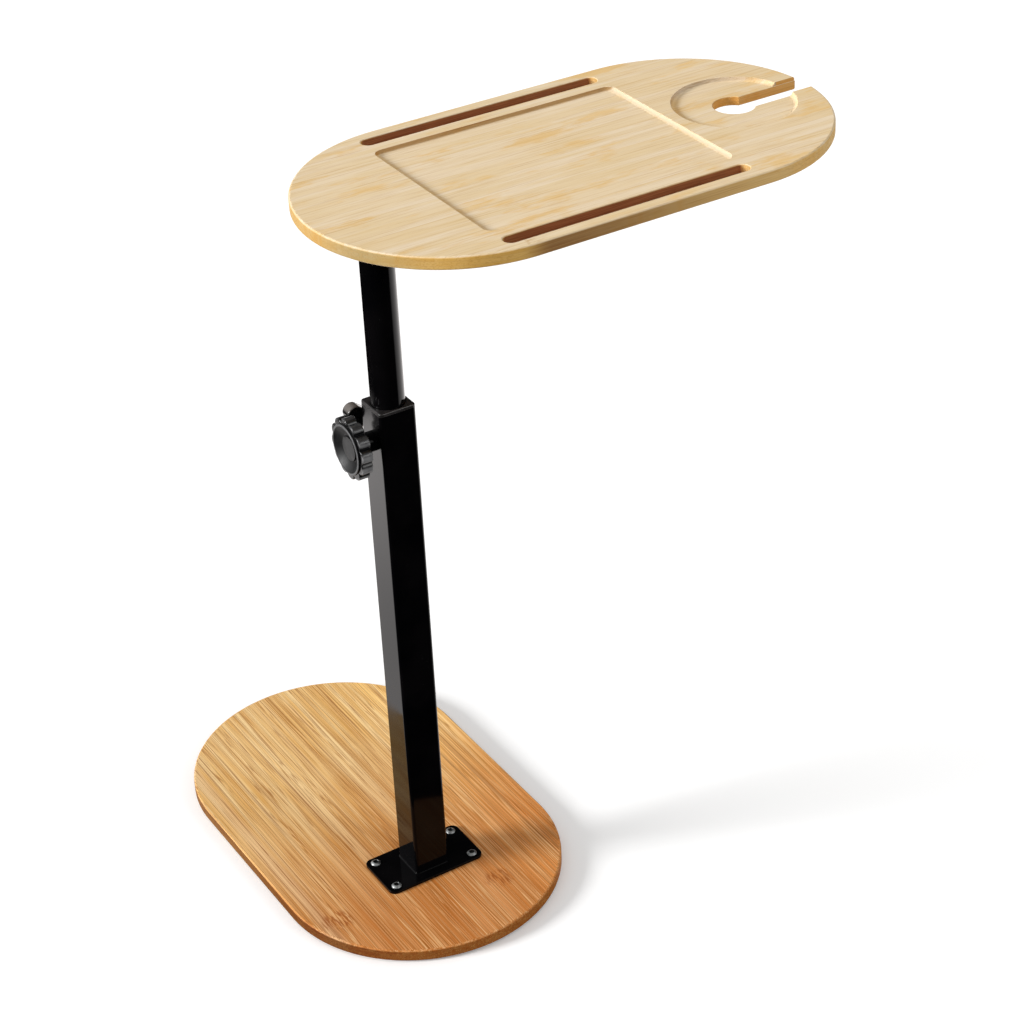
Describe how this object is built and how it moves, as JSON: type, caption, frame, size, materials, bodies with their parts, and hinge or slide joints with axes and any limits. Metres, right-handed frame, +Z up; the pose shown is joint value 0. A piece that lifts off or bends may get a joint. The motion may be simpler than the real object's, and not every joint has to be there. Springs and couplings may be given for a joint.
{
  "type": "c-shaped side table",
  "caption": "C-shaped side table: stadium tray top with tablet grooves, cup seat and stemware keyhole, on a telescoping swivel mast over a stadium foot board.",
  "frame": {"origin": "centre of the bounding box seen from above, on the floor under the foot pads", "axes": "+Z up; +X along the tray top from the mast towards the keyhole end; +Y along the foot board from the mast towards its long end"},
  "size_m": [0.5754, 0.46, 0.699],
  "materials": {
    "pale_bamboo": "clear satin lacquer on natural bamboo",
    "warm_bamboo": "clear satin lacquer on carbonised bamboo",
    "black_enamel": "gloss black baked enamel",
    "black_plastic": "satin moulded",
    "zinc_steel": "zinc plated",
    "brass": "plain",
    "pad_rubber": "matt",
    "white_nylon": "natural"
  },
  "bodies": {
    "base": {"foot_board": "warm_bamboo", "foot_pad_left_near": "pad_rubber", "foot_pad_left_far": "pad_rubber", "foot_pad_right_near": "pad_rubber", "foot_pad_right_far": "pad_rubber", "foot_plate": "black_enamel", "foot_screw_left_near": "zinc_steel", "foot_screw_left_far": "zinc_steel", "foot_screw_right_near": "zinc_steel", "foot_screw_right_far": "zinc_steel", "foot_insert_left_near": "brass", "foot_insert_left_far": "brass", "foot_insert_right_near": "brass", "foot_insert_right_far": "brass", "outer_tube": "black_enamel", "tube_bush": "black_plastic", "left_weld_nut": "black_enamel", "back_weld_nut": "black_enamel"},
    "guide": {"lower_guide": "black_plastic"},
    "mast": {"inner_tube": "black_enamel", "top_plate": "black_enamel", "top_screw_left_near": "zinc_steel", "top_screw_left_far": "zinc_steel", "top_screw_right_near": "zinc_steel", "top_screw_right_far": "zinc_steel", "top_insert_left_near": "brass", "top_insert_left_far": "brass", "top_insert_right_near": "brass", "top_insert_right_far": "brass", "tabletop": "pale_bamboo"},
    "left_tip": {"left_pressure_tip": "white_nylon"},
    "left_knob": {"left_clamp_bolt": "zinc_steel", "left_knob": "black_plastic", "left_knob_cap": "black_plastic"},
    "back_tip": {"back_pressure_tip": "white_nylon"},
    "back_screw": {"back_wing_stud": "zinc_steel", "back_wing_grip": "black_plastic"}
  },
  "joints": [
    {"name": "mast_height", "type": "slide", "parent": "base", "child": "guide", "axis": [0, 0, 1], "range_m": [-0.16, 0.16]},
    {"name": "mast_swivel", "type": "hinge", "parent": "guide", "child": "mast", "pos_m": [-0.15171, -0.094, 0.234], "axis": [0, 0, 1], "continuous": true},
    {"name": "left_clamp_travel", "type": "slide", "parent": "base", "child": "left_tip", "axis": [-1, 0, 0], "range_m": [0, 0.0019]},
    {"name": "left_clamp_turn", "type": "hinge", "parent": "left_tip", "child": "left_knob", "pos_m": [-0.18671, -0.094, 0.484], "axis": [-1, 0, 0], "range_deg": [0, 540]},
    {"name": "back_clamp_travel", "type": "slide", "parent": "base", "child": "back_tip", "axis": [0, 1, 0], "range_m": [0, 0.0019]},
    {"name": "back_clamp_turn", "type": "hinge", "parent": "back_tip", "child": "back_screw", "pos_m": [-0.15171, -0.059, 0.484], "axis": [0, 1, 0], "range_deg": [0, 540]}
  ],
  "couplings": [
    {"joint": "left_clamp_travel", "follows": "left_clamp_turn", "m_per_rad": 0.00019894},
    {"joint": "back_clamp_travel", "follows": "back_clamp_turn", "m_per_rad": 0.00019894}
  ]
}
